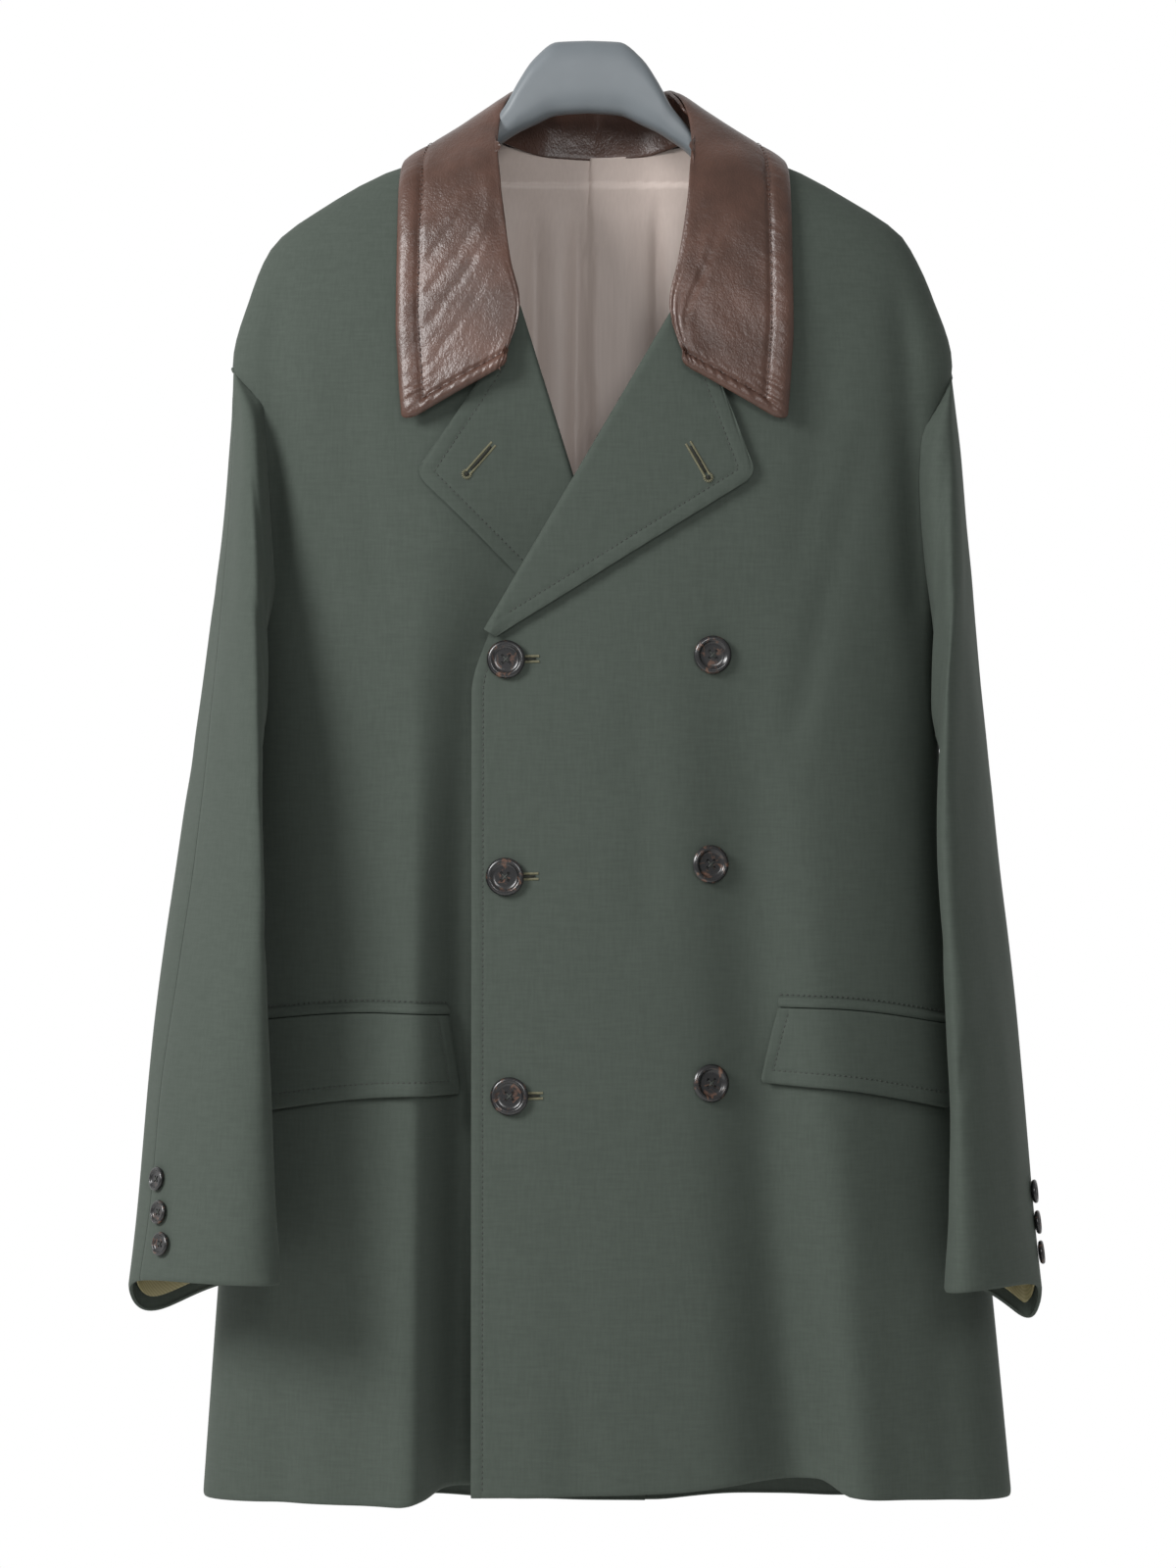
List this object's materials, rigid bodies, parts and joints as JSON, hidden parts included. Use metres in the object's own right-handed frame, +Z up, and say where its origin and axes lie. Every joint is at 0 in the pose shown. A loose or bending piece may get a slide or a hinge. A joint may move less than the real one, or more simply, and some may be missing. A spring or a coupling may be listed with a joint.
{
  "type": "double-breasted loden coat on a hanger",
  "caption": "Dark green double-breasted loden coat with a brown leather collar, buttoned, hanging on a grey moulded hanger.",
  "frame": {"origin": "top of the hanger, in the middle of its hump, where it is held", "axes": "+X towards the wearer's left, which is the viewer's right; +Y towards the back of the coat; +Z up"},
  "size_m": [0.552, 0.1992, 0.901],
  "materials": {
    "loden_wool": "matt, felted",
    "brown_leather": "soft sheen",
    "taupe_lining": "satin",
    "olive_cuff_lining": "matt",
    "dark_horn": "polished",
    "grey_plastic": "satin"
  },
  "bodies": {
    "root": {"hanger": "grey_plastic", "back_left": "loden_wool", "back_right": "loden_wool", "front_left": "loden_wool", "front_right": "loden_wool", "lapel_left": "loden_wool", "lapel_right": "loden_wool", "collar_fall": "brown_leather", "collar_stand": "brown_leather", "sleeve_left_top": "loden_wool", "sleeve_left_under": "loden_wool", "sleeve_right_top": "loden_wool", "sleeve_right_under": "loden_wool", "cuff_lining_left": "olive_cuff_lining", "cuff_lining_right": "olive_cuff_lining", "lining_back": "taupe_lining", "flap_left": "loden_wool", "flap_right": "loden_wool", "welt_left": "loden_wool", "welt_right": "loden_wool", "button_fastened_1": "dark_horn", "button_fastened_2": "dark_horn", "button_fastened_3": "dark_horn", "button_show_1": "dark_horn", "button_show_2": "dark_horn", "button_show_3": "dark_horn", "button_cuff_left_1": "dark_horn", "button_cuff_left_2": "dark_horn", "button_cuff_left_3": "dark_horn", "button_cuff_right_1": "dark_horn", "button_cuff_right_2": "dark_horn", "button_cuff_right_3": "dark_horn"}
  },
  "joints": []
}
